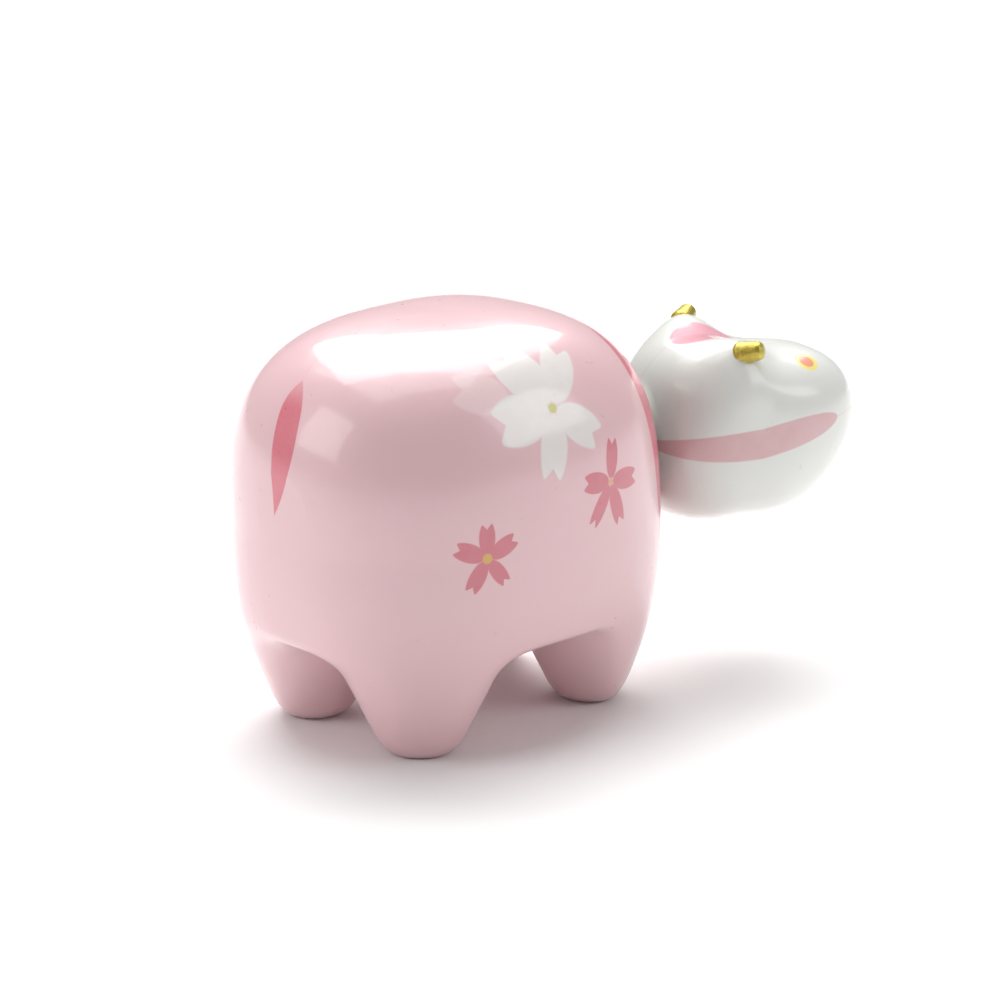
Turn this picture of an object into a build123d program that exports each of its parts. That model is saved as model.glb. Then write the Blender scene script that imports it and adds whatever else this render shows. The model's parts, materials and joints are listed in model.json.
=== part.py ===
from build123d import *

import math
import os

# Nodding ox: a folk-craft toy of pasted paper. A hollow four-legged body, open at the chest,
# and a hollow head on a rolled paper neck, hung by one thread just inside the opening and
# balanced by a clay plug in the tail of the neck.
#
# Frame: +X is the way the body faces, +Y its left, +Z up. The floor is z = 0. Every piece is
# first built with x = 0 over the middle of the four feet, then all are moved together along X
# so that the origin is under the middle of the whole toy. Millimetres and grams.

# Body
BODY_HEIGHT = 92.0          # top of the back
REAR_REACH = 50.3           # middle of the feet to the rump
FRONT_REACH = 47.5          # middle of the feet to where the closed chest would end
BODY_HALF_WIDTH = 39.7
GIRTH_HEIGHT = 47.3         # height of the widest level
PLAN_POWER = 2.47           # roundness of the plan above the girth: 2 is an ellipse
FOOT_PLAN_POWER = 2.94      # roundness of the plan at the floor
DOME_POWER = 2.9            # roundness of the back, seen from the side
DOME_LEAN = 2.7             # how far the top of the back sits behind the middle
LENGTH_TAPER = 0.214        # share of the length lost between the girth and the floor
WIDTH_TAPER = 0.216
CHEST_FLAT = 42.0           # the bulge of the chest is flattened about here
CHEST_BLEND = 8.0
BODY_WALL = 1.8

# Legs: rounded cones that run together under the belly
FOOT_X = 26.2
FOOT_Y = 17.6
LEG_RADIUS = 8.1
LEG_FLARE = 0.48            # growth of the radius for each millimetre of height
BELLY_HEIGHT = 23.2
LEG_EDGE_BLEND = 4.0        # where a leg meets the flank
CROTCH_BLEND = 6.0          # where a leg meets the belly
SOLE_BLEND = 4.8            # rounding of the foot
SOLE_TRIM = 0.6             # the rounded foot is cut flat this far above its end

# Chest opening
OPENING_RADIUS = 26.0
OPENING_ROOF = 9.0          # top of the opening to the top of the back
BINDING_THICKNESS = 0.6     # paper folded over the cut edge

# Head, measured from its centre. The profile is the reach of its side outline every
# 30 degrees: muzzle, nose, brow, forehead, poll, nape, back, throat, jaw, jaw, chin, lip.
HEAD_PROFILE = (31.5, 29.0, 20.5, 20.0, 24.0, 24.5, 25.0, 26.0, 23.5, 21.0, 24.0, 28.0)
HEAD_HALF_WIDTH = 21.3
HEAD_POWER = 2.5            # roundness of the head from side to side
MUZZLE_TAPER = 0.006        # share of the width lost for each millimetre towards the muzzle
HORN_BOSS_HEIGHT = 5.6      # the two bosses at the upper corners of the head
HORN_BOSS_SPREAD = 6.7
HORN_BOSS_FADE = 12.0       # a boss fades out over this height above the head's centre
HORN_X = -1.9
HORN_Y = 17.2
HORN_BASE_RADIUS = 3.0
HORN_TIP_RADIUS = 2.0
HORN_LENGTH = 7.0
HORN_ROUNDING = 1.5
HORN_OUTWARD = 45.0         # degrees that a horn points outwards from straight ahead
HORN_RISE = 15.0            # degrees above level
HORN_LIFT = 0.8             # middle of the horn above the top of its boss
HEAD_WALL = 1.5
HEAD_DROP = 2.1             # head centre below the centre of the opening
HEAD_REACH = 43.8           # thread to head centre
HEAD_TURN = -21.0           # degrees that the head is turned at rest, to its right

# Neck and its balance
NECK_RADIUS = 10.0
NECK_WALL = 1.2
NECK_TAIL = 40.0            # thread to the inner end of the neck
NECK_GRIP = 7.0             # length of neck inside the head's back
COLLAR_WIDTH = 3.0
COLLAR_LENGTH = 4.0
CAP_THICKNESS = 1.0
PIN_RADIUS = 1.0
PIN_RISE = 4.0              # pin above the neck's centre line
SLOT_HALF_LENGTH = 3.6      # opening for the thread in the top of the neck
SLOT_HALF_WIDTH = 1.8

# Thread and what it hangs from
THREAD_X = 30.0             # thread in front of the middle of the feet
THREAD_RADIUS = 0.5
BAR_RADIUS = 1.3
BAR_CLEARANCE = 2.4         # from the bar up to the paper strip above it
PATCH_RADIUS = 6.5
TIE_HALF_LENGTH = 2.0
TIE_THICKNESS = 0.9
RUNNING_GAP = 0.08          # between a thread and the rod that turns in it

# Paper strips pasted over the seams, on the inside
STRIP_HALF_WIDTH = 5.0
STRIP_THICKNESS = 0.5

# Densities, grams for each cubic millimetre
PAPER_DENSITY = 0.0008
CLAY_DENSITY = 0.0023
WOOD_DENSITY = 0.0006

# Fineness of the lofted shapes
BODY_SECTIONS = 48
BODY_POINTS = 46
HEAD_SECTIONS = 36
HEAD_POINTS = 40
POINT_CROWDING = 0.6        # draws section points towards the feet
SEAM_OVERRUN = 0.6          # radians that a half section runs on past the middle plane
BODY_END_SHARE = 2e-3       # share of the length left flat at each end of a loft
HEAD_END_SHARE = 2e-4
FAR = 400.0                 # larger than anything in the toy
PROBE = 0.01


def smooth_max(a, b, blend):
    """The larger of two distances, with the crease between them rounded."""
    overlap = max(blend - abs(a - b), 0.0) / blend
    return max(a, b) + overlap * overlap * blend / 4


def smooth_min(a, b, blend):
    return -smooth_max(-a, -b, blend)


def body_field(x, y, z):
    """Below zero inside the body, above zero outside, close to a distance near the surface."""
    above = max((z - GIRTH_HEIGHT) / (BODY_HEIGHT - GIRTH_HEIGHT), 0.0)
    below = max((GIRTH_HEIGHT - z) / GIRTH_HEIGHT, 0.0)
    x_upright = x + DOME_LEAN * above
    reach = FRONT_REACH if x_upright > 0 else REAR_REACH
    power = PLAN_POWER + (FOOT_PLAN_POWER - PLAN_POWER) * below
    along = abs(x_upright) / (reach * (1 - LENGTH_TAPER * below**2))
    across = abs(y) / (BODY_HALF_WIDTH * (1 - WIDTH_TAPER * below**2))
    plan = ((along + 1e-9) ** power + (across + 1e-9) ** power) ** (1 / power)
    dome = ((plan + 1e-9) ** DOME_POWER + (above + 1e-9) ** DOME_POWER) ** (1 / DOME_POWER)
    block = smooth_max((dome - 1) * BODY_HALF_WIDTH, x - CHEST_FLAT, CHEST_BLEND)
    off_axis = math.hypot(abs(x) - FOOT_X, abs(y) - FOOT_Y)
    leg = (off_axis - (LEG_RADIUS + LEG_FLARE * z)) / math.hypot(1, LEG_FLARE)
    leg = smooth_max(leg, -(z + SOLE_TRIM), SOLE_BLEND)
    underside = smooth_min(leg, BELLY_HEIGHT - z, CROTCH_BLEND)
    return smooth_max(block, underside, LEG_EDGE_BLEND)


def profile_reach(angle):
    """Reach of the head's side outline at any angle, smoothly through HEAD_PROFILE."""
    count = len(HEAD_PROFILE)
    total = 0.0
    for index, reach in enumerate(HEAD_PROFILE):
        turn = angle - 2 * math.pi * index / count
        if abs(math.sin(turn / 2)) < 1e-9:
            return reach
        total += reach * math.sin(count * turn / 2) / math.tan(turn / 2) / count
    return total


def head_field(x, y, z):
    """As body_field, for the head about its own centre."""
    apart = (x - HORN_X) ** 2 + (abs(y) - HORN_Y) ** 2
    boss = HORN_BOSS_HEIGHT * math.exp(-apart / (2 * HORN_BOSS_SPREAD**2))
    z_lowered = z - boss * min(max(z / HORN_BOSS_FADE, 0.0), 1.0)
    side = math.hypot(x, z_lowered) / profile_reach(math.atan2(z_lowered, x))
    across = abs(y) / (HEAD_HALF_WIDTH * (1 - MUZZLE_TAPER * x))
    round_off = (side + 1e-9) ** HEAD_POWER + (across + 1e-9) ** HEAD_POWER
    return (round_off ** (1 / HEAD_POWER) - 1) * HEAD_HALF_WIDTH


def depth(field, x, y, z):
    """Signed distance to the surface of a field, negative inside."""
    value = field(x, y, z)
    slope = math.hypot(
        field(x + PROBE, y, z) - value,
        field(x, y + PROBE, z) - value,
        field(x, y, z + PROBE) - value,
    )
    return value * PROBE / max(slope, 1e-9)


def last_inside(is_inside, limit):
    """The furthest distance, up to a limit, that is still inside."""
    low = 0.0
    high = limit
    for _ in range(30):
        middle = (low + high) / 2
        if is_inside(middle):
            low = middle
        else:
            high = middle
    return low


def section_wire(field, inset, x, core_height, count, crowding):
    """The left half of one cross-section at x, closed a little past the middle plane."""
    points = []
    for index in range(count + 1):
        even = (math.pi + 2 * SEAM_OVERRUN) * index / count - SEAM_OVERRUN
        angle = even - crowding * math.sin(even)
        dy = math.sin(angle)
        dz = -math.cos(angle)

        def inside(r):
            return depth(field, x, r * dy, core_height + r * dz) < -inset

        r = last_inside(inside, FAR / 2)
        points.append(Vector(x, r * dy, core_height + r * dz))
    knots = [index / count for index in range(count + 1)]
    return Wire([Edge.make_spline(points, parameters=knots), Edge.make_line(points[-1], points[0])])


def field_half(field, inset, core_height, sections, count, end_share, crowding=0.0):
    """The left half of the solid that a field bounds, drawn in by inset, lofted along X."""

    def end(sign):
        return sign * last_inside(lambda r: depth(field, sign * r, 0.0, core_height) < -inset, FAR / 2)

    rear = end(-1)
    front = end(1)
    middle = (rear + front) / 2
    half = (front - rear) / 2 * (1 - end_share)
    wires = []
    for index in range(sections + 1):
        x = middle - half * math.cos(math.pi * index / sections)
        wires.append(section_wire(field, inset, x, core_height, count, crowding))
    return Solid.make_loft(wires) & half_space(1)


def body_half(inset, floor):
    """The left half of the body drawn in by inset, with flat soles at the height floor."""
    half = field_half(
        body_field, inset, GIRTH_HEIGHT, BODY_SECTIONS, BODY_POINTS, BODY_END_SHARE, POINT_CROWDING
    )
    return half & Pos(0, 0, floor + FAR / 2) * Box(FAR, FAR, FAR)


def head_half(inset):
    return field_half(head_field, inset, 0.0, HEAD_SECTIONS, HEAD_POINTS, HEAD_END_SHARE)


def mirrored(shape):
    """The right-hand twin of a left-hand piece."""
    return shape.mirror(Plane.XZ)


def rod(start, end, radius):
    """A round rod between two points."""
    start = Vector(*start)
    end = Vector(*end)
    return Solid.make_cylinder(radius, (end - start).length, Plane(start, z_dir=end - start))


def half_space(side):
    """Everything on one side of the plane y = 0: 1 is left, -1 is right."""
    return Pos(0, side * FAR / 2, 0) * Box(FAR, FAR, FAR)


def seam_slab():
    return Box(FAR, 2 * STRIP_HALF_WIDTH, FAR)


# Heights that several pieces share
opening_height = BODY_HEIGHT - OPENING_ROOF - OPENING_RADIUS
neck_height = opening_height - HEAD_DROP
pin_height = neck_height + PIN_RISE


def ceiling(x):
    """Height of the inside of the back at x, on the middle line."""
    rise = last_inside(lambda r: depth(body_field, x, 0.0, GIRTH_HEIGHT + r) < -BODY_WALL, FAR / 2)
    return GIRTH_HEIGHT + rise


bar_height = ceiling(THREAD_X) - STRIP_THICKNESS - BAR_CLEARANCE - BAR_RADIUS


def opening_cut(radius):
    """The round hole through the chest, along X from the middle of the body."""
    return rod((0, 0, opening_height), (FAR / 2, 0, opening_height), radius)


def build_body():
    outer = body_half(0.0, 0.0)
    cavity = body_half(BODY_WALL, BODY_WALL)
    lining = cavity - body_half(BODY_WALL + STRIP_THICKNESS, BODY_WALL + STRIP_THICKNESS)
    opening = opening_cut(OPENING_RADIUS)
    wall = outer - cavity
    shell = wall - opening
    binding = wall & (opening - opening_cut(OPENING_RADIUS - BINDING_THICKNESS))
    strip = (lining & seam_slab()) - opening
    bar_line = ((THREAD_X, -FAR / 4, bar_height), (THREAD_X, FAR / 4, bar_height))
    bar = rod(*bar_line, BAR_RADIUS) & cavity
    keep_off = STRIP_HALF_WIDTH + STRIP_THICKNESS
    patch = (lining & rod(*bar_line, PATCH_RADIUS)) & (Pos(0, keep_off, 0) * half_space(1))
    patch = patch - rod(*bar_line, BAR_RADIUS) - opening
    return {
        "body_shell_left": shell,
        "body_shell_right": mirrored(shell),
        "rim_binding": binding + mirrored(binding),
        "body_seam_strip": strip + mirrored(strip),
        "thread_bar": bar + mirrored(bar),
        "bar_patch_left": patch,
        "bar_patch_right": mirrored(patch),
    }


def build_thread():
    """The thread: a loop round the bar and the strand that hangs from it."""
    loop_radius = BAR_RADIUS + RUNNING_GAP + THREAD_RADIUS
    loop = Solid.make_torus(loop_radius, THREAD_RADIUS, Plane((THREAD_X, 0, bar_height), z_dir=(0, 1, 0)))
    strand_top = (THREAD_X, 0, bar_height - loop_radius)
    strand_end = (THREAD_X, 0, tie_top())
    return {"hanging_thread": loop + rod(strand_top, strand_end, THREAD_RADIUS)}


def tie_top():
    """Where the strand ends, on top of the knot."""
    return pin_height + PIN_RADIUS + RUNNING_GAP + TIE_THICKNESS + THREAD_RADIUS


def turned(shape):
    """Turns a piece of the head assembly about the thread, from straight ahead to rest."""
    return shape.rotate(Axis((THREAD_X, 0, 0), (0, 0, 1)), HEAD_TURN)


def pin_rod(radius, half_length):
    start = (THREAD_X, -half_length, pin_height)
    end = (THREAD_X, half_length, pin_height)
    return rod(start, end, radius)


def build_tie():
    """The thread's windings round the pin, with the knot on top."""
    bore = PIN_RADIUS + RUNNING_GAP
    windings = pin_rod(bore + TIE_THICKNESS, TIE_HALF_LENGTH)
    knot_radius = TIE_THICKNESS + THREAD_RADIUS
    knot = Pos(THREAD_X, 0, tie_top() - knot_radius) * Sphere(knot_radius)
    knot = knot & Pos(0, 0, tie_top() - THREAD_RADIUS / 2 - FAR / 2) * Box(FAR, FAR, FAR)
    return {"thread_tie": turned((windings + knot) - pin_rod(bore, FAR / 4))}


def neck_rod(rear, front, radius):
    """A rod on the neck's centre line, between two distances from the thread."""
    return rod((THREAD_X + rear, 0, neck_height), (THREAD_X + front, 0, neck_height), radius)


def horn_left(head_outer):
    """A blunt cone lying over its boss, pointing forwards and outwards, cut to sit on the head."""
    top = last_inside(lambda r: depth(head_field, HORN_X, HORN_Y, r) < 0, FAR / 4)
    rise = math.radians(HORN_RISE)
    outward = math.radians(HORN_OUTWARD)
    along = Vector(math.cos(rise) * math.cos(outward), math.cos(rise) * math.sin(outward), math.sin(rise))
    base = Vector(HORN_X, HORN_Y, top + HORN_LIFT) - along * (HORN_LENGTH / 2)
    horn = Solid.make_cone(HORN_BASE_RADIUS, HORN_TIP_RADIUS, HORN_LENGTH, Plane(base, z_dir=along))
    horn = horn.fillet(HORN_ROUNDING, horn.edges().filter_by(GeomType.CIRCLE))
    return horn - head_outer


def build_head():
    to_head = Pos(THREAD_X + HEAD_REACH, 0, neck_height)
    outer = head_half(0.0)
    cavity = head_half(HEAD_WALL)
    lining = cavity - head_half(HEAD_WALL + STRIP_THICKNESS)
    back = last_inside(lambda r: depth(head_field, -r, 0.0, 0.0) < 0, FAR / 4)
    neck_front = HEAD_REACH - back + NECK_GRIP

    tube = neck_rod(-NECK_TAIL, neck_front, NECK_RADIUS)
    bore = neck_rod(-NECK_TAIL, neck_front, NECK_RADIUS - NECK_WALL)
    shell = (to_head * (outer - cavity)) - tube
    strip = (to_head * (lining & seam_slab())) - tube
    slot = Pos(THREAD_X, 0, pin_height + FAR / 2) * Box(2 * SLOT_HALF_LENGTH, 2 * SLOT_HALF_WIDTH, FAR)
    pin = pin_rod(PIN_RADIUS, FAR / 4) & tube
    collar = Solid.make_cone(
        NECK_RADIUS,
        NECK_RADIUS + COLLAR_WIDTH,
        COLLAR_LENGTH,
        Plane((THREAD_X + HEAD_REACH - back - COLLAR_LENGTH / 2, 0, neck_height), z_dir=(1, 0, 0)),
    )
    collar = (collar & half_space(1)) - tube - to_head * outer
    horn = to_head * horn_left(outer)
    pieces = {
        "head_shell_left": shell,
        "head_shell_right": mirrored(shell),
        "head_seam_strip": strip + mirrored(strip),
        "neck_tube": tube - bore - slot - pin,
        "neck_pin": pin,
        "neck_collar": collar + mirrored(collar),
        "neck_cap": neck_rod(-NECK_TAIL, CAP_THICKNESS - NECK_TAIL, NECK_RADIUS - NECK_WALL),
        "horn_left": horn,
        "horn_right": mirrored(horn),
    }
    pieces["clay_weight"] = clay_plug(pieces)
    return {name: turned(piece) for name, piece in pieces.items()}


def clay_plug(pieces):
    """Clay behind the thread, as long as it takes to balance the head level."""
    moment = 0.0
    for name, piece in pieces.items():
        density = WOOD_DENSITY if name.startswith(("horn", "neck_pin")) else PAPER_DENSITY
        moment += piece.volume * density * (piece.center(CenterOf.MASS).X - THREAD_X)
    bore_radius = NECK_RADIUS - NECK_WALL
    clay_for_each_mm = math.pi * bore_radius**2 * CLAY_DENSITY
    arm = NECK_TAIL - CAP_THICKNESS
    length = arm - math.sqrt(arm**2 - 2 * moment / clay_for_each_mm)
    print(f"clay plug {length:.2f} mm long, {length * clay_for_each_mm:.2f} g")
    return neck_rod(-arm, length - arm, bore_radius)


def main():
    pieces = {**build_body(), **build_thread(), **build_tie(), **build_head()}
    boxes = [piece.bounding_box() for piece in pieces.values()]
    middle_x = (min(box.min.X for box in boxes) + max(box.max.X for box in boxes)) / 2
    middle_y = (min(box.min.Y for box in boxes) + max(box.max.Y for box in boxes)) / 2
    os.makedirs("parts", exist_ok=True)
    for name, piece in pieces.items():
        solids = [Pos(-middle_x, -middle_y, 0) * solid for solid in piece.solids()]
        export_step(solids[0] if len(solids) == 1 else Compound(solids), f"parts/{name}.step")
    print(f"origin moved by {middle_x:.3f}, {middle_y:.3f}")
    print(f"bar at x {THREAD_X - middle_x:.3f}, y {-middle_y:.3f}, z {bar_height:.3f}")
    print(f"strand ends at z {tie_top():.3f}, pin at z {pin_height:.3f}")
    print(f"opening centre z {opening_height:.3f}, neck centre z {neck_height:.3f}")


if __name__ == "__main__":
    main()
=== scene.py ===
"""Visual model of a nodding ox: a lacquered pasted-paper toy with painted blossoms.

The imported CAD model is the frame. The body and head shells are replaced by one smooth
lacquered wall each, so that the paper seams vanish under the lacquer as they do on the real
toy. Every other CAD piece stays and gets its own finish.
"""

from __future__ import annotations

import json
import logging
import math
from dataclasses import dataclass, field
from enum import Enum
from typing import Callable

import bmesh
import bpy
from mathutils import Matrix, Vector

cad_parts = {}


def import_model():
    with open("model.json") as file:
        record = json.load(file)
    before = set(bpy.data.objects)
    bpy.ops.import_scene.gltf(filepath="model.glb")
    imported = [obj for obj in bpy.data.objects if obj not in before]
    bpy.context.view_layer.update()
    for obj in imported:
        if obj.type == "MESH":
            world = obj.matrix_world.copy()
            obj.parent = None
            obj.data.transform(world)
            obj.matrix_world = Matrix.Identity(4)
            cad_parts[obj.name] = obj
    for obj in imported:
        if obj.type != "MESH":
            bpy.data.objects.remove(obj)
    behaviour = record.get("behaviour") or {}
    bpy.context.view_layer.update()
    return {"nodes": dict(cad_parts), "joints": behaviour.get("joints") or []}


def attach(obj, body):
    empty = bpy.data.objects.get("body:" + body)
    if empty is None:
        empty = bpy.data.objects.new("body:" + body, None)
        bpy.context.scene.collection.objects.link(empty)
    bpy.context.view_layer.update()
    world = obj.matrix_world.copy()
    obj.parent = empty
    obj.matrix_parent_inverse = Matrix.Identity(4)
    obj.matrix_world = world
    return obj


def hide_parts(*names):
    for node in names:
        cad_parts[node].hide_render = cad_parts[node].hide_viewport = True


log = logging.getLogger("nodding_ox")

MM = 0.001
Colour = tuple[float, float, float]


class Wall(Enum):
    """Material places on a hollow wall."""

    OUTSIDE = 0
    INSIDE = 1
    EDGE = 2


def srgb(red: int, green: int, blue: int) -> Colour:
    """A linear colour from the 0 to 255 values that a screen shows."""

    def linear(value: int) -> float:
        """One channel."""
        share = value / 255
        return share / 12.92 if share <= 0.04045 else ((share + 0.055) / 1.055) ** 2.4

    return (linear(red), linear(green), linear(blue))


# ---------------------------------------------------------------- shader expressions


class Val:
    """A number in a node tree, with Python's operators."""

    def __init__(self, tree: "Finish", socket: bpy.types.NodeSocket) -> None:
        """Wraps one output socket of a tree."""
        self.tree = tree
        self.socket = socket

    def _math(self, operation: str, *values: "Val | float") -> "Val":
        """Adds one Math node."""
        return self.tree.node("ShaderNodeMath", {"operation": operation}, dict(enumerate(values)))

    def __add__(self, other: "Val | float") -> "Val":
        """Sum."""
        return self._math("ADD", self, other)

    __radd__ = __add__

    def __sub__(self, other: "Val | float") -> "Val":
        """Difference."""
        return self._math("SUBTRACT", self, other)

    def __rsub__(self, other: float) -> "Val":
        """Difference from a plain number."""
        return self._math("SUBTRACT", other, self)

    def __mul__(self, other: "Val | float") -> "Val":
        """Product."""
        return self._math("MULTIPLY", self, other)

    __rmul__ = __mul__

    def __truediv__(self, other: "Val | float") -> "Val":
        """Quotient."""
        return self._math("DIVIDE", self, other)

    def __pow__(self, other: "Val | float") -> "Val":
        """Power."""
        return self._math("POWER", self, other)

    def __abs__(self) -> "Val":
        """Size without sign."""
        return self._math("ABSOLUTE", self)

    def least(self, other: "Val | float") -> "Val":
        """The smaller of two."""
        return self._math("MINIMUM", self, other)

    def most(self, other: "Val | float") -> "Val":
        """The larger of two."""
        return self._math("MAXIMUM", self, other)

    def root(self) -> "Val":
        """Square root."""
        return self._math("SQRT", self)

    def wave(self) -> "Val":
        """Sine of an angle in radians."""
        return self._math("SINE", self)

    def edge(self, soft: float) -> "Val":
        """A mask: 1 where this depth is positive, 0 outside, over a soft edge.

        Args:
            soft: width of the edge, in the same unit.
        """
        settings = {"interpolation_type": "SMOOTHSTEP"}
        values = {"Value": self, "From Min": -soft / 2, "From Max": soft / 2}
        return self.tree.node("ShaderNodeMapRange", settings, values)


@dataclass
class Finish:
    """A node material that starts as one principled shader."""

    name: str
    base: Colour
    rough: float = 0.5
    metallic: float = 0.0
    coat: float = 0.0
    coat_rough: float = 0.1
    sheen: float = 0.0
    material: bpy.types.Material = field(init=False)
    shader: bpy.types.Node = field(init=False)

    def __post_init__(self) -> None:
        """Makes the material and sets what is the same all over."""
        self.material = bpy.data.materials.new(self.name)
        self.material.use_nodes = True
        self.nodes = self.material.node_tree.nodes
        self.links = self.material.node_tree.links
        self.shader = self.nodes["Principled BSDF"]
        inputs = self.shader.inputs
        inputs["Base Color"].default_value = (*self.base, 1)
        inputs["Roughness"].default_value = self.rough
        inputs["Metallic"].default_value = self.metallic
        inputs["Coat Weight"].default_value = self.coat
        inputs["Coat Roughness"].default_value = self.coat_rough
        inputs["Sheen Weight"].default_value = self.sheen

    def node(
        self,
        kind: str,
        settings: dict[str, object],
        values: dict[object, object],
        out: int | str = 0,
    ) -> Val:
        """Adds a node.

        Args:
            kind: the node's type.
            settings: attributes set before the sockets.
            values: socket name or number to a value, a Val or a socket.
            out: the output wanted.

        Returns:
            The output as a Val.
        """
        made = self.nodes.new(kind)
        for key, value in settings.items():
            setattr(made, key, value)
        for key, value in values.items():
            self.feed(made.inputs[key], value)
        return Val(self, made.outputs[out])

    def feed(self, socket: bpy.types.NodeSocket, value: object) -> None:
        """Links or sets one input socket."""
        if isinstance(value, Val):
            self.links.new(value.socket, socket)
        elif isinstance(value, tuple) and len(value) == 3 and socket.type == "RGBA":
            socket.default_value = (*value, 1)
        else:
            socket.default_value = value

    def set(self, name: str, value: object) -> None:
        """Feeds one input of the shader."""
        self.feed(self.shader.inputs[name], value)

    def place(self, origin: Vector = Vector(), turn: float = 0.0) -> Val:
        """Object coordinates in millimetres about an origin.

        Args:
            origin: the point that becomes zero, in metres.
            turn: angle about Z that the axes are turned by, in radians.
        """
        where = self.node("ShaderNodeTexCoord", {}, {}, "Object")
        settings = {"vector_type": "TEXTURE"}
        values = {"Vector": where, "Location": tuple(origin), "Rotation": (0, 0, turn), "Scale": (MM, MM, MM)}
        return self.node("ShaderNodeMapping", settings, values)

    def parts(self, where: Val) -> tuple[Val, Val, Val]:
        """The three numbers of a vector."""
        split = self.node("ShaderNodeSeparateXYZ", {}, {0: where})
        outputs = split.socket.node.outputs
        return Val(self, outputs[0]), Val(self, outputs[1]), Val(self, outputs[2])

    def along(self, where: Val, axis: Vector) -> Val:
        """How far a place lies along an axis."""
        values = {0: where, 1: tuple(axis)}
        return self.node("ShaderNodeVectorMath", {"operation": "DOT_PRODUCT"}, values, "Value")

    def noise(self, where: Val, scale: float, detail: float = 3.0, rough: float = 0.5) -> Val:
        """Cloudy noise about 0.5.

        Args:
            where: place on the surface.
            scale: cells for each millimetre.
            detail: how many finer layers are added.
            rough: how strong the finer layers are.

        Returns:
            The noise, from 0 to 1.
        """
        values = {"Vector": where, "Scale": scale, "Detail": detail, "Roughness": rough}
        return self.node("ShaderNodeTexNoise", {}, values, "Fac")

    def mix(self, share: "Val | float", first: "Val | Colour", second: "Val | Colour") -> Val:
        """A colour between two.

        Args:
            share: how much of the second, from 0 to 1.
            first: the colour at 0.
            second: the colour at 1.

        Returns:
            The mixed colour.
        """
        made = self.nodes.new("ShaderNodeMix")
        made.data_type = "RGBA"
        self.feed(made.inputs[0], share)
        self.feed(made.inputs[6], first)
        self.feed(made.inputs[7], second)
        return Val(self, made.outputs[2])

    def bump(self, height: Val, distance: float) -> None:
        """Raises the surface by a height field, with the distance in millimetres."""
        values = {"Height": height, "Distance": distance * MM, "Strength": 1.0}
        self.set("Normal", self.node("ShaderNodeBump", {}, values))


# ---------------------------------------------------------------- forms


def soft_most(a: float, b: float, blend: float) -> float:
    """The larger of two distances, with the crease between them rounded.

    Args:
        a: one distance.
        b: the other distance.
        blend: how far from the crease the rounding starts.

    Returns:
        The joined distance.
    """
    overlap = max(blend - abs(a - b), 0.0) / blend
    return max(a, b) + overlap * overlap * blend / 4


def furthest(inside: Callable[[float], bool], low: float, high: float) -> float:
    """The last value between two that is still inside.

    Args:
        inside: says whether a value is inside; true at low and false past some value.
        low: a value that is inside.
        high: a value that is outside.

    Returns:
        The last value found inside.
    """
    for _ in range(26):
        middle = (low + high) / 2
        if inside(middle):
            low = middle
        else:
            high = middle
    return low


@dataclass(frozen=True)
class BodyForm:
    """The body's outline, in millimetres from the middle of its feet."""

    height: float = 92.0
    rear_reach: float = 50.3
    front_reach: float = 47.5
    half_width: float = 39.7
    girth_height: float = 47.3
    plan_power: float = 2.47
    foot_plan_power: float = 2.94
    dome_power: float = 2.9
    dome_lean: float = 2.7
    length_taper: float = 0.214
    width_taper: float = 0.216
    chest_flat: float = 42.0
    chest_blend: float = 8.0
    wall: float = 1.8
    foot_x: float = 26.2
    foot_y: float = 17.6
    leg_radius: float = 8.1
    leg_flare: float = 0.48
    belly_height: float = 23.2
    leg_edge_blend: float = 4.0
    crotch_blend: float = 6.0
    sole_blend: float = 4.8
    sole_trim: float = 0.6
    opening_radius: float = 26.0
    opening_height: float = 57.0

    def depth(self, x: float, y: float, z: float) -> float:
        """Below zero inside the body, above zero outside."""
        above = max((z - self.girth_height) / (self.height - self.girth_height), 0.0)
        below = max((self.girth_height - z) / self.girth_height, 0.0)
        upright = x + self.dome_lean * above
        reach = self.front_reach if upright > 0 else self.rear_reach
        power = self.plan_power + (self.foot_plan_power - self.plan_power) * below
        along = abs(upright) / (reach * (1 - self.length_taper * below**2))
        across = abs(y) / (self.half_width * (1 - self.width_taper * below**2))
        plan = ((along + 1e-9) ** power + (across + 1e-9) ** power) ** (1 / power)
        dome = ((plan + 1e-9) ** self.dome_power + (above + 1e-9) ** self.dome_power) ** (1 / self.dome_power)
        block = soft_most((dome - 1) * self.half_width, x - self.chest_flat, self.chest_blend)
        off_axis = math.hypot(abs(x) - self.foot_x, abs(y) - self.foot_y)
        leg = (off_axis - (self.leg_radius + self.leg_flare * z)) / math.hypot(1, self.leg_flare)
        leg = soft_most(leg, -(z + self.sole_trim), self.sole_blend)
        underside = -soft_most(-leg, z - self.belly_height, self.crotch_blend)
        return soft_most(block, underside, self.leg_edge_blend)


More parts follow.
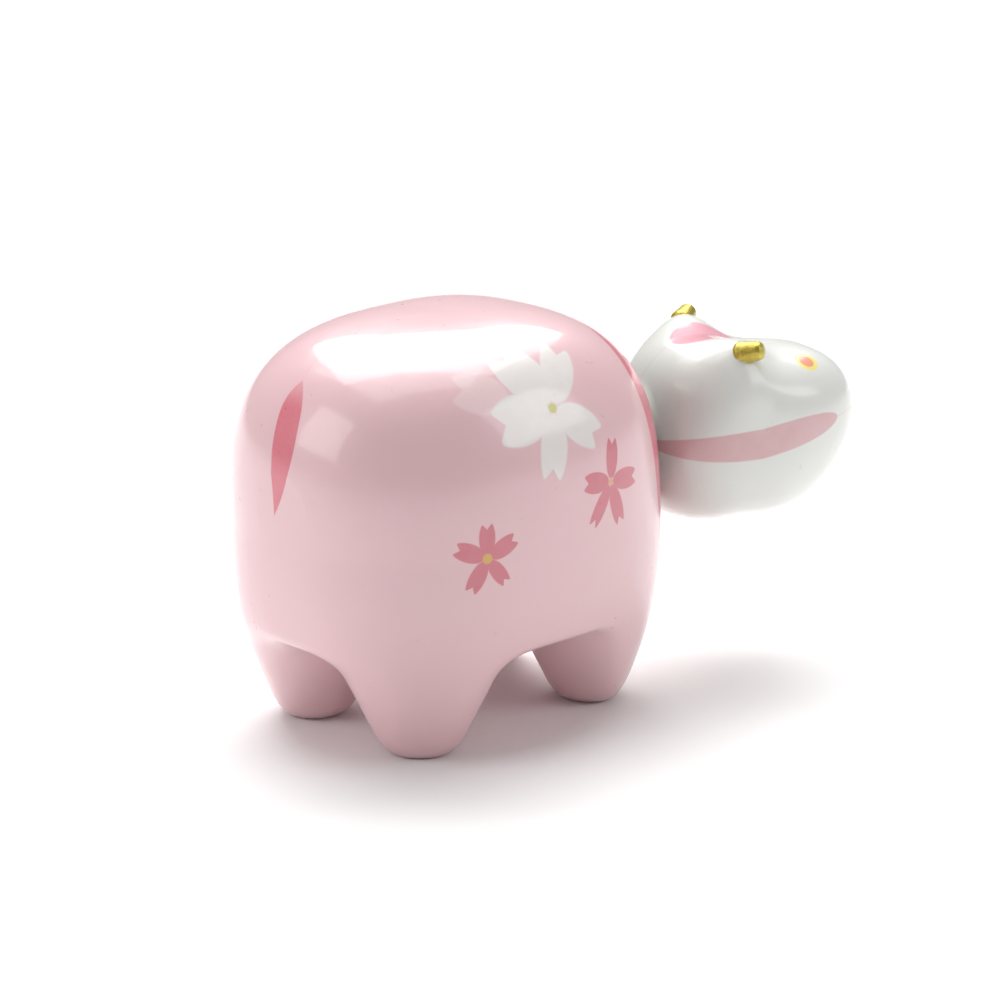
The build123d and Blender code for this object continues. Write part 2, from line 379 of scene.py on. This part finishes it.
@dataclass(frozen=True)
class HeadForm:
    """The head's outline, in millimetres from its centre."""

    profile: tuple[float, ...] = (31.5, 29.0, 20.5, 20.0, 24.0, 24.5, 25.0, 26.0, 23.5, 21.0, 24.0, 28.0)
    half_width: float = 21.3
    power: float = 2.5
    taper: float = 0.006
    boss_height: float = 5.6
    boss_spread: float = 6.7
    boss_fade: float = 12.0
    horn_x: float = -1.9
    horn_y: float = 17.2
    wall: float = 1.5
    neck_radius: float = 10.0

    def reach(self, angle: float) -> float:
        """Reach of the side outline at any angle, smoothly through the profile."""
        count = len(self.profile)
        total = 0.0
        for index, value in enumerate(self.profile):
            turn = angle - 2 * math.pi * index / count
            if abs(math.sin(turn / 2)) < 1e-9:
                return value
            total += value * math.sin(count * turn / 2) / math.tan(turn / 2) / count
        return total

    def depth(self, x: float, y: float, z: float) -> float:
        """Below zero inside the head, above zero outside."""
        apart = (x - self.horn_x) ** 2 + (abs(y) - self.horn_y) ** 2
        boss = self.boss_height * math.exp(-apart / (2 * self.boss_spread**2))
        lowered = z - boss * min(max(z / self.boss_fade, 0.0), 1.0)
        side = math.hypot(x, lowered) / self.reach(math.atan2(lowered, x))
        across = abs(y) / (self.half_width * (1 - self.taper * x))
        round_off = (side + 1e-9) ** self.power + (across + 1e-9) ** self.power
        return (round_off ** (1 / self.power) - 1) * self.half_width


@dataclass(frozen=True)
class Skin:
    """A closed form grown into a mesh of rings from a pole to the edge of a round opening.

    Rings stand across X. Rays leave the core line at core_height, and point down at angle 0.
    """

    depth: Callable[[float, float, float], float]
    core_height: float
    opening_height: float
    opening_radius: float
    closed_end: float
    open_end: float
    floor: float | None
    crowding: float
    around: int
    rings: int
    span: float = 0.80
    far: float = 90.0

    def true_depth(self, x: float, y: float, z: float) -> float:
        """The form's depth as a real distance."""
        step = 0.01
        value = self.depth(x, y, z)
        slope = math.hypot(
            self.depth(x + step, y, z) - value,
            self.depth(x, y + step, z) - value,
            self.depth(x, y, z + step) - value,
        )
        return value * step / max(slope, 1e-9)

    def point(self, x: float, angle: float, inset: float) -> Vector:
        """The skin's point on a ray.

        Args:
            x: where the ray stands along X.
            angle: the ray's angle, 0 pointing down.
            inset: how far the skin is drawn in.

        Returns:
            The point, in millimetres.
        """
        dy, dz = math.sin(angle), -math.cos(angle)
        read = self.depth if inset == 0 else self.true_depth
        far = furthest(lambda r: read(x, r * dy, self.core_height + r * dz) < -inset, 0.0, self.far)
        found = Vector((x, far * dy, self.core_height + far * dz))
        if self.floor is not None:
            found.z = max(found.z, self.floor + inset)
        return found

    def pole(self, inset: float) -> float:
        """Where the skin crosses the core line at its closed end."""
        sign = math.copysign(1, self.closed_end)
        read = self.depth if inset == 0 else self.true_depth
        return sign * furthest(lambda r: read(sign * r, 0.0, self.core_height) < -inset, 0.0, self.far)

    def rim(self, angle: float, inset: float) -> float:
        """How far along X the skin meets the opening at an angle."""
        sign = math.copysign(1, self.open_end)

        def outside(r: float) -> bool:
            """True while the skin is still wider than the opening."""
            p = self.point(sign * r, angle, inset)
            return math.hypot(p.y, p.z - self.opening_height) > self.opening_radius

        return sign * furthest(outside, 2.0, abs(self.open_end))

    def grow(self, target: bmesh.types.BMesh, inset: float, place: int) -> list[bmesh.types.BMEdge]:
        """Adds the skin to a mesh.

        Args:
            target: the mesh to add to.
            inset: how far the skin is drawn in.
            place: its material place.

        Returns:
            The edges round its opening.
        """
        rows = self.rings + 1
        made = bmesh.ops.create_uvsphere(target, u_segments=self.around, v_segments=rows, radius=1.0)
        verts = made["verts"]
        start = self.pole(inset)
        rims: dict[int, tuple[float, float]] = {}
        last: list[bmesh.types.BMVert] = []
        for vert in verts:
            row = round(math.acos(max(-1.0, min(1.0, vert.co.z))) / math.pi * rows)
            column = round(math.atan2(vert.co.y, vert.co.x) / (2 * math.pi) * self.around) % self.around
            if row == rows:
                last.append(vert)
                continue
            if column not in rims:
                even = 2 * math.pi * column / self.around
                angle = even - self.crowding * math.sin(even)
                rims[column] = (angle, self.rim(angle, inset))
            angle, rim = rims[column]
            sweep = math.pi * self.span
            share = (1 - math.cos(sweep * row / self.rings)) / (1 - math.cos(sweep))
            x = start + (rim - start) * share
            vert.co = self.point(x, angle, inset) if row else Vector((start, 0, self.core_height))
        bmesh.ops.delete(target, geom=last, context="VERTS")
        verts = [v for v in verts if v.is_valid]
        faces = list({f for v in verts for f in v.link_faces})
        for face in faces:
            face.material_index = place
            face.smooth = True
        return [e for e in {e for v in verts for e in v.link_edges} if len(e.link_faces) == 1]

    def hollow(self, name: str, wall: float) -> bpy.types.Object:
        """The finished wall: outer skin, inner skin and the edge between them.

        Args:
            name: the piece's name.
            wall: its thickness.

        Returns:
            The piece, in metres about the form's own origin.
        """
        bm = bmesh.new()
        outer = self.grow(bm, 0.0, Wall.OUTSIDE.value)
        outer_faces = set(bm.faces)
        inner = self.grow(bm, wall, Wall.INSIDE.value)
        inner_faces = [f for f in bm.faces if f not in outer_faces]
        for faces, sign in ((list(outer_faces), 1), (inner_faces, -1)):
            face = max(faces, key=lambda f: f.calc_center_median().z)
            if face.normal.z * sign < 0:
                bmesh.ops.reverse_faces(bm, faces=faces)
            bm.normal_update()
            face = max(faces, key=lambda f: f.calc_center_median().z)
            if face.normal.z * sign < 0:
                bmesh.ops.reverse_faces(bm, faces=faces)
        bridge = bmesh.ops.bridge_loops(bm, edges=outer + inner)
        for face in bridge["faces"]:
            face.material_index = Wall.EDGE.value
        bmesh.ops.scale(bm, vec=(MM, MM, MM), verts=bm.verts)
        mesh = bpy.data.meshes.new(name)
        bm.to_mesh(mesh)
        bm.free()
        made = bpy.data.objects.new(name, mesh)
        bpy.context.scene.collection.objects.link(made)
        return made


# ---------------------------------------------------------------- painted motifs


@dataclass(frozen=True)
class Petal:
    """One painted petal with a notched tip: where it points, its length and half its width."""

    angle: float
    length: float
    half_width: float
    notch: float = 0.14

    def depth(self, u: Val, v: Val) -> Val:
        """How far inside the petal's outline a place is, in millimetres."""
        turn = math.radians(self.angle)
        along = u * math.cos(turn) + v * math.sin(turn)
        across = abs(v * math.cos(turn) - u * math.sin(turn))
        middle, half = 0.60 * self.length, 0.53 * self.length
        oval = (((along - middle) / half) ** 2 + (across / self.half_width) ** 2).root()
        cut = (1 - across / (0.5 * self.half_width)).most(0) * (self.notch * self.length)
        return ((1 - oval) * self.half_width).least(self.length - along - cut)


@dataclass(frozen=True)
class Blossom:
    """A painted blossom lying on a tangent plane: its centre, normal and petals."""

    centre: tuple[float, float, float]
    normal: tuple[float, float, float]
    petals: tuple[Petal, ...]
    soft: float
    eye_radius: float

    def plane(self, finish: Finish, where: Val) -> tuple[Val, Val, Val]:
        """Distances along the blossom's two axes and off its plane."""
        normal = Vector(self.normal).normalized()
        right = (Vector((1, 0, 0)) - normal * normal.x).normalized()
        up = normal.cross(right) * (1 if normal.cross(right).z > 0 else -1)
        centre = Vector(self.centre)
        u = finish.along(where, right) - right.dot(centre)
        v = finish.along(where, up) - up.dot(centre)
        return u, v, finish.along(where, normal) - normal.dot(centre)

    def masks(self, finish: Finish, where: Val) -> tuple[Val, Val]:
        """Where the blossom is painted.

        Args:
            finish: the material that it is painted on.
            where: place on the surface, in millimetres.

        Returns:
            The masks of the petals and of the eye in their middle.
        """
        u, v, off = self.plane(finish, where)
        deepest: Val | None = None
        for petal in self.petals:
            depth = petal.depth(u, v)
            deepest = depth if deepest is None else deepest.most(depth)
        near = (off + 14).edge(1.0)
        eye = (self.eye_radius - (u * u + v * v).root()).edge(0.35)
        return deepest.edge(self.soft) * near, eye * near


WHITE_BLOSSOM = Blossom(
    (-3.2, -35.0, 76.9),
    (-0.004, -0.889, 0.458),
    (
        Petal(53, 16.3, 4.2),
        Petal(114, 16.3, 6.0),
        Petal(184, 15.8, 5.7),
        Petal(-105, 15.0, 3.8),
        Petal(-37, 14.0, 4.2),
    ),
    0.7,
    1.1,
)
PALE_PETAL = Blossom((-12.8, -32.7, 79.9), (-0.089, -0.819, 0.567), (Petal(152, 13.6, 5.0),), 0.9, 0.01)
PINK_BLOSSOM_LOW = Blossom(
    (-24.3, -36.9, 48.1),
    (-0.288, -0.958, -0.017),
    (
        Petal(91, 7.6, 1.95),
        Petal(27, 7.8, 2.1),
        Petal(-52, 7.6, 1.7),
        Petal(-120, 8.0, 1.95),
        Petal(158, 8.0, 2.1),
    ),
    0.3,
    1.15,
)
PINK_BLOSSOM_HIGH = Blossom(
    (10.7, -38.9, 58.4),
    (0.105, -0.992, 0.072),
    (
        Petal(79, 9.4, 1.95),
        Petal(-4, 9.2, 2.4),
        Petal(-72, 10.3, 2.0),
        Petal(-125, 10.6, 1.8),
        Petal(172, 8.4, 2.4),
    ),
    0.3,
    0.6,
)


@dataclass(frozen=True)
class ChestBorder:
    """The deep pink band round the opening: all that lies ahead of a leaning plane."""

    start: float = 31
    level: float = 54
    lean: float = 0.17
    soft: float = 0.5

    def mask(self, x: Val, z: Val) -> Val:
        """Where the band is painted."""
        return (x - self.start + (z - self.level) * self.lean).edge(self.soft)


@dataclass(frozen=True)
class TailStroke:
    """The curved brush stroke that stands for the tail, on the rump."""

    belly: float = 68
    bend: float = 0.0105
    offset: float = 0.25
    half_width: float = 3.5
    widest: float = 72
    reach_down: float = 17.5
    reach_up: float = 10.9
    sharp_below: float = 1.7
    sharp_above: float = 3.5
    rump: float = -25
    lowest: float = 54
    fade_from: float = 78
    fade_over: float = 5
    fade_share: float = 0.6

    def mask(self, x: Val, y: Val, z: Val) -> Val:
        """Where the stroke is painted, thinner towards its top."""
        middle = (z - self.belly) ** 2 * self.bend + self.offset
        below = 1 - (((self.widest - z) / self.reach_down).most(0)) ** self.sharp_below
        above = 1 - (((z - self.widest) / self.reach_up).most(0)) ** self.sharp_above
        stroke = below.least(above).most(0) * self.half_width - abs(y - middle)
        mask = stroke.edge(0.35) * (self.rump - x).edge(1.0) * (z - self.lowest).edge(1.0)
        fade = 1 - ((z - self.fade_from) / self.fade_over).most(0).least(1) * self.fade_share
        return mask * fade


@dataclass(frozen=True)
class MouthBand:
    """The dusty pink band along each side of the muzzle."""

    middle_x: float = 2
    level: float = 0.6
    climb: float = 0.11
    rear_length: float = 26
    front_length: float = 20
    front_power: float = 2.4
    half_height: float = 3.5
    side_start: float = 8

    def mask(self, x: Val, y: Val, z: Val) -> Val:
        """Where the band is painted on either side."""
        lift = (x.most(0)) * self.climb + self.level
        rear = ((self.middle_x - x).most(0)) / self.rear_length
        front = ((x - self.middle_x).most(0)) / self.front_length
        rear_half = (1 - rear * rear).most(0).root()
        front_half = (1 - front**self.front_power).most(0).root()
        half = rear_half.least(front_half) * self.half_height
        return (half - abs(z - lift)).edge(0.5) * (abs(y) - self.side_start).edge(1.0)


@dataclass(frozen=True)
class CrownMark:
    """The leaf painted on the crown."""

    back: float = 13
    front: float = 5
    breadth: float = 0.85
    above: float = 6

    def mask(self, x: Val, y: Val, z: Val) -> Val:
        """Where the leaf is painted."""
        half = ((x + self.back).most(0) * (self.front - x).most(0)).root() * self.breadth
        return (half - abs(y)).edge(0.6) * (z - self.above).edge(1.0)


@dataclass(frozen=True)
class Eyes:
    """The two round eyes, each with a ring."""

    ahead: float = 16.0
    apart: float = 10.8
    height: float = 16.2
    ring_radius: float = 3.1
    radius: float = 2.0

    def masks(self, x: Val, y: Val, z: Val) -> tuple[Val, Val]:
        """Where the rings and the eyes in them are painted."""
        away = (x - self.ahead) ** 2 + (abs(y) - self.apart) ** 2 + (z - self.height) ** 2
        far = away.root()
        return (self.ring_radius - far).edge(0.5), (self.radius - far).edge(0.5)


CHEST_BORDER = ChestBorder()
TAIL_STROKE = TailStroke()
MOUTH_BAND = MouthBand()
CROWN_MARK = CrownMark()
EYES = Eyes()


class Paint(Enum):
    """Every flat colour in the toy."""

    PINK = srgb(227, 188, 193)
    DEEP_PINK = srgb(206, 106, 120)
    BORDER_PINK = srgb(216, 122, 136)
    STROKE_PINK = srgb(214, 112, 126)
    BLOSSOM_WHITE = srgb(232, 230, 226)
    PALE = srgb(238, 214, 215)
    OCHRE = srgb(214, 170, 90)
    STAMEN = srgb(196, 196, 110)
    WHITE = srgb(224, 225, 220)
    MOUTH = srgb(212, 164, 168)
    LEAF = srgb(228, 150, 166)
    EYE = srgb(230, 150, 120)
    EYE_RING = srgb(236, 222, 130)
    GOLD = srgb(196, 176, 60)
    RAW = srgb(222, 211, 186)
    CLAY = srgb(150, 124, 98)
    BAMBOO = srgb(206, 180, 124)
    THREAD = srgb(232, 226, 210)
    FLOOR = srgb(250, 250, 250)


# ---------------------------------------------------------------- finishes


def lacquer(name: str, base: Colour) -> Finish:
    """Glossy lacquer brushed over pasted paper."""
    return Finish(name, base, rough=0.30, coat=0.55, coat_rough=0.07)


def hand_made_surface(finish: Finish, where: Val, depth: float) -> None:
    """The slow waves of pasted paper and the fine brush marks of its lacquer.

    Args:
        finish: the material to work on.
        where: place on the surface, in millimetres.
        depth: height of the waves, in millimetres.
    """
    waves = finish.noise(where, 0.055, 2.0)
    sheets = finish.noise(where, 0.35, 3.0)
    finish.bump(waves * 1.0 + sheets * 0.10, depth)
    finish.set("Roughness", 0.24 + 0.12 * finish.noise(where, 0.5, 4.0))


def body_lacquer(origin: Vector) -> bpy.types.Material:
    """Pale pink lacquer with the blossoms, the tail stroke and the border of the opening."""
    finish = lacquer("pink_lacquer", Paint.PINK.value)
    where = finish.place(origin)
    x, y, z = finish.parts(where)
    cloud = finish.noise(where, 0.05, 2.0)
    colour = finish.mix(cloud * 0.30, Paint.PINK.value, srgb(232, 198, 199))

    colour = finish.mix(CHEST_BORDER.mask(x, z), colour, Paint.BORDER_PINK.value)

    streaks = finish.noise(finish.place(origin, 0.3), 0.9, 4.0)
    stroke = TAIL_STROKE.mask(x, y, z) * (0.86 + streaks * 0.14)
    colour = finish.mix(stroke, colour, Paint.STROKE_PINK.value)

    pale, _ = PALE_PETAL.masks(finish, where)
    colour = finish.mix(pale * 0.6, colour, Paint.PALE.value)
    white, white_eye = WHITE_BLOSSOM.masks(finish, where)
    strokes = finish.noise(where, 0.35, 5.0, 0.6)
    colour = finish.mix(white * (0.72 + strokes * 0.3), colour, Paint.BLOSSOM_WHITE.value)
    colour = finish.mix(white_eye, colour, Paint.STAMEN.value)
    for blossom in (PINK_BLOSSOM_LOW, PINK_BLOSSOM_HIGH):
        petals, eye = blossom.masks(finish, where)
        colour = finish.mix(petals * (0.8 + strokes * 0.2), colour, Paint.DEEP_PINK.value)
        colour = finish.mix(eye, colour, Paint.OCHRE.value)
    finish.set("Base Color", colour)
    hand_made_surface(finish, where, 0.5)
    return finish.material


def head_lacquer(centre: Vector, turn: float) -> bpy.types.Material:
    """White lacquer with eyes, crown leaf and mouth bands."""
    finish = lacquer("white_lacquer", Paint.WHITE.value)
    where = finish.place(centre, turn)
    x, y, z = finish.parts(where)
    cloud = finish.noise(where, 0.06, 2.0)
    colour = finish.mix(cloud * 0.35, Paint.WHITE.value, srgb(214, 216, 210))

    wash = finish.noise(where, 0.25, 4.0)
    band = MOUTH_BAND.mask(x, y, z) * (0.72 + wash * 0.3)
    colour = finish.mix(band, colour, Paint.MOUTH.value)
    leaf = CROWN_MARK.mask(x, y, z) * (0.8 + wash * 0.2)
    colour = finish.mix(leaf, colour, Paint.LEAF.value)
    ring, eye = EYES.masks(x, y, z)
    colour = finish.mix(ring, colour, Paint.EYE_RING.value)
    colour = finish.mix(eye, colour, Paint.EYE.value)
    finish.set("Base Color", colour)
    hand_made_surface(finish, where, 0.4)
    return finish.material


def raw_paper() -> bpy.types.Material:
    """Bare pasted paper, with fibres and the edges of torn sheets."""
    finish = Finish("raw_paper", Paint.RAW.value, rough=0.85, sheen=0.1)
    where = finish.place()
    fibres = finish.noise(where, 2.2, 6.0, 0.7)
    cells = {"Vector": where, "Scale": 0.07}
    sheets = finish.node("ShaderNodeTexVoronoi", {"distance": "CHEBYCHEV"}, cells, "Distance")
    shade = finish.mix(fibres * 0.5, Paint.RAW.value, srgb(206, 192, 162))
    finish.set("Base Color", finish.mix(sheets * 0.25, shade, srgb(232, 224, 204)))
    finish.bump(fibres * 0.3 + sheets * 0.2, 0.3)
    return finish.material


def gold_paint() -> bpy.types.Material:
    """Gold paint brushed on a carved bud."""
    finish = Finish("gold_paint", Paint.GOLD.value, rough=0.32, metallic=0.75, coat=0.3)
    where = finish.place()
    grain = finish.noise(where, 0.8, 5.0, 0.65)
    finish.set("Base Color", finish.mix(grain, srgb(150, 130, 40), srgb(226, 208, 96)))
    finish.set("Roughness", 0.22 + 0.25 * grain)
    finish.bump(grain, 0.25)
    return finish.material


def bamboo() -> bpy.types.Material:
    """Split bamboo, with its long fibres."""
    finish = Finish("bamboo", Paint.BAMBOO.value, rough=0.5)
    where = finish.place()
    x, y, z = finish.parts(where)
    fibre = finish.noise(finish.node("ShaderNodeCombineXYZ", {}, {0: x, 1: y * 0.08, 2: z}), 2.6, 4.0)
    finish.set("Base Color", finish.mix(fibre, srgb(182, 150, 92), srgb(222, 200, 148)))
    finish.bump(fibre, 0.1)
    return finish.material


def twisted_thread() -> bpy.types.Material:
    """White cotton thread, its plies wound round it, with painted shade darkening the grooves between the
    plies.
    """
    finish = Finish("twisted_thread", Paint.THREAD.value, rough=0.8, sheen=0.3)
    where = finish.place()
    x, y, z = finish.parts(where)
    plies_and_groove_shade = (z * 2.2 + (x + y) * 3.0).wave() * 0.5 + 0.5
    # Painted shade: the base colour darkens in the grooves between the plies, where the bump sinks.
    finish.set("Base Color", finish.mix(plies_and_groove_shade, srgb(206, 198, 178), srgb(240, 236, 224)))
    finish.bump(plies_and_groove_shade, 0.12)
    return finish.material


def dry_clay() -> bpy.types.Material:
    """Unfired clay pressed into the neck."""
    finish = Finish("dry_clay", Paint.CLAY.value, rough=0.95)
    where = finish.place()
    lumps = finish.noise(where, 0.7, 6.0, 0.65)
    finish.set("Base Color", finish.mix(lumps, srgb(128, 102, 78), srgb(168, 144, 116)))
    finish.bump(lumps, 0.5)
    return finish.material


def plain_lacquer(name: str, colour: Colour) -> bpy.types.Material:
    """Lacquer of one colour, a little uneven, for the small paper pieces."""
    finish = lacquer(name, colour)
    where = finish.place()
    cloud = finish.noise(where, 0.3, 3.0)
    finish.set("Base Color", finish.mix(cloud * 0.25, colour, tuple(c * 0.85 for c in colour)))
    hand_made_surface(finish, where, 0.25)
    return finish.material


# ---------------------------------------------------------------- assemblies


def dress(node: bpy.types.Object, *materials: bpy.types.Material) -> None:
    """Gives a piece its materials.

    Args:
        node: the piece.
        materials: its materials, in the order of its material places.
    """
    node.data.materials.clear()
    for material in materials:
        node.data.materials.append(material)


@dataclass
class Toy:
    """What the frame says about where things are, shared by every assembly."""

    nodes: dict[str, bpy.types.Object]
    joints: dict[str, dict]
    thread_ahead: float = 30.0
    pin_rise: float = 4.0

    @property
    def feet(self) -> Vector:
        """The middle of the feet on the floor."""
        return Vector((self.joints["thread_swing"]["pos_m"][0] - self.thread_ahead * MM, 0, 0))

    @property
    def head_turn(self) -> float:
        """The angle about Z that the head is turned by at rest, in radians."""
        axis = self.joints["head_nod"]["axis"]
        return math.atan2(-axis[0], axis[1])

    def head_centre(self, reach: float) -> Vector:
        """The head's centre, a reach in millimetres from the thread."""
        pin = Vector(self.joints["head_nod"]["pos_m"])
        turn = self.head_turn
        return pin + Vector((reach * math.cos(turn), reach * math.sin(turn), -self.pin_rise)) * MM


@dataclass
class Body:
    """The hollow four-legged body, its opening and what is pasted inside it."""

    toy: Toy
    form: BodyForm = field(default_factory=BodyForm)
    around: int = 144
    rings: int = 120

    def build(self) -> None:
        """Makes the wall and dresses the CAD pieces."""
        form = self.form
        skin = Skin(
            form.depth,
            form.girth_height,
            form.opening_height,
            form.opening_radius,
            closed_end=-1,
            open_end=47.0,
            floor=0.0,
            crowding=0.5,
            around=self.around,
            rings=self.rings,
        )
        wall = skin.hollow("body_wall", form.wall)
        wall.data.transform(placed(self.toy.feet, 0.0))
        outside = body_lacquer(self.toy.feet)
        inside = raw_paper()
        edge = plain_lacquer("rim_lacquer", Paint.BORDER_PINK.value)
        dress(wall, outside, inside, edge)
        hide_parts("body_shell_left", "body_shell_right")
        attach(wall, "body")
        log.info("body_wall rides on body")
        nodes = self.toy.nodes
        dress(nodes["rim_binding"], bpy.data.materials["rim_lacquer"])
        for name in ("body_seam_strip", "bar_patch_left", "bar_patch_right"):
            dress(nodes[name], bpy.data.materials["raw_paper"])
        dress(nodes["thread_bar"], bamboo())
        thread = twisted_thread()
        for name in ("hanging_thread", "thread_tie"):
            dress(nodes[name], thread)


def placed(origin: Vector, turn: float) -> Matrix:
    """A place for a form that was made about its own origin.

    Args:
        origin: where its origin goes, in metres.
        turn: angle about Z, in radians.

    Returns:
        The matrix that turns and then moves.
    """
    return Matrix.Translation(origin) @ Matrix.Rotation(turn, 4, "Z")


@dataclass
class Head:
    """The hollow head on its neck, with horns and the clay that balances it."""

    toy: Toy
    form: HeadForm = field(default_factory=HeadForm)
    reach: float = 43.8
    around: int = 112
    rings: int = 96

    def build(self) -> None:
        """Makes the head's wall and dresses the CAD pieces."""
        form = self.form
        skin = Skin(
            form.depth,
            0.0,
            0.0,
            form.neck_radius,
            closed_end=1,
            open_end=-24.9,
            floor=None,
            crowding=0.0,
            around=self.around,
            rings=self.rings,
            span=0.93,
            far=60.0,
        )
        centre = self.toy.head_centre(self.reach)
        wall = skin.hollow("head_wall", form.wall)
        wall.data.transform(placed(centre, self.toy.head_turn))
        white = plain_lacquer("neck_lacquer", Paint.WHITE.value)
        dress(wall, head_lacquer(centre, self.toy.head_turn), bpy.data.materials["raw_paper"], white)
        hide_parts("head_shell_left", "head_shell_right")
        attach(wall, "head")
        log.info("head_wall rides on head")
        nodes = self.toy.nodes
        for name in ("neck_tube", "neck_collar"):
            dress(nodes[name], white)
        for name in ("head_seam_strip", "neck_cap"):
            dress(nodes[name], bpy.data.materials["raw_paper"])
        dress(nodes["neck_pin"], bpy.data.materials["bamboo"])
        dress(nodes["clay_weight"], dry_clay())
        gold = gold_paint()
        for name in ("horn_left", "horn_right"):
            dress(nodes[name], gold)


# ---------------------------------------------------------------- stage


@dataclass(frozen=True)
class Softbox:
    """A square studio light that faces a point."""

    name: str
    at: tuple[float, float, float]
    size: float
    power: float
    toward: tuple[float, float, float] = (0.0, 0.0, 0.05)

    def build(self) -> None:
        """Makes the light."""
        light = bpy.data.lights.new(self.name, "AREA")
        light.shape = "SQUARE"
        light.size = self.size
        light.energy = self.power
        lamp = bpy.data.objects.new(self.name, light)
        bpy.context.scene.collection.objects.link(lamp)
        lamp.location = self.at
        lamp.rotation_mode = "QUATERNION"
        lamp.rotation_quaternion = (Vector(self.toward) - Vector(self.at)).to_track_quat("-Z", "Y")


@dataclass
class Studio:
    """The pale floor, soft lights and the camera."""

    toy: Toy
    azimuth: float = 43.746
    elevation: float = 17.152
    distance: float = 900.0
    lens_length: float = 145.2564
    sensor: float = 36.0
    aim_height: float = 46.0
    aim_right: float = 10.624
    aim_up: float = 1.711
    ambient: float = 0.22

    def camera(self) -> None:
        """The camera on the toy's right, behind it and a little above."""
        a, e = math.radians(self.azimuth), math.radians(self.elevation)
        ahead = Vector((math.sin(a) * math.cos(e), math.cos(a) * math.cos(e), -math.sin(e)))
        right = Vector((math.cos(a), -math.sin(a), 0))
        up = right.cross(ahead)
        target = Vector((0, 0, self.aim_height)) + right * self.aim_right + up * self.aim_up
        lens = bpy.data.cameras.new("camera")
        lens.sensor_width = self.sensor
        lens.lens = self.lens_length
        camera = bpy.data.objects.new("camera", lens)
        bpy.context.scene.collection.objects.link(camera)
        camera.location = self.toy.feet + (target - ahead * self.distance) * MM
        camera.rotation_mode = "QUATERNION"
        camera.rotation_quaternion = ahead.to_track_quat("-Z", "Y")
        lens.clip_start, lens.clip_end = 0.01, 20
        bpy.context.scene.camera = camera

    def floor(self) -> None:
        """A wide pale floor."""
        bm = bmesh.new()
        bmesh.ops.create_grid(bm, x_segments=1, y_segments=1, size=6.0)
        mesh = bpy.data.meshes.new("floor")
        bm.to_mesh(mesh)
        bm.free()
        floor = bpy.data.objects.new("floor", mesh)
        bpy.context.scene.collection.objects.link(floor)
        dress(floor, Finish("floor_paint", Paint.FLOOR.value, rough=0.9).material)

    def lights(self) -> None:
        """A large light overhead, one each side, and an even pale surround."""
        for light in (
            Softbox("overhead", (0.10, 0.20, 0.9), 0.9, 5.0),
            Softbox("backdrop", (1.0, 1.1, 1.7), 2.2, 60.0, (0.9, 1.0, 0.0)),
            Softbox("left_box", (-0.75, 0.34, 0.45), 0.5, 2.2),
            Softbox("right_box", (0.50, -0.72, 0.5), 0.5, 2.0),
        ):
            light.build()
        world = bpy.data.worlds.new("surround")
        world.use_nodes = True
        background = world.node_tree.nodes["Background"]
        background.inputs["Color"].default_value = (1, 1, 1, 1)
        background.inputs["Strength"].default_value = self.ambient
        bpy.context.scene.world = world
        bpy.context.scene.view_settings.view_transform = "Standard"

    def build(self) -> None:
        """Makes the camera, floor and lights."""
        self.camera()
        self.floor()
        self.lights()


def main() -> None:
    """Builds the stage, then the toy round the frame."""
    logging.basicConfig(level=logging.INFO, format="%(name)s: %(message)s")
    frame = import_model()
    toy = Toy(frame["nodes"], {joint["name"]: joint for joint in frame["joints"]})
    Studio(toy).build()
    Body(toy).build()
    Head(toy).build()


if __name__ == "__main__":
    main()
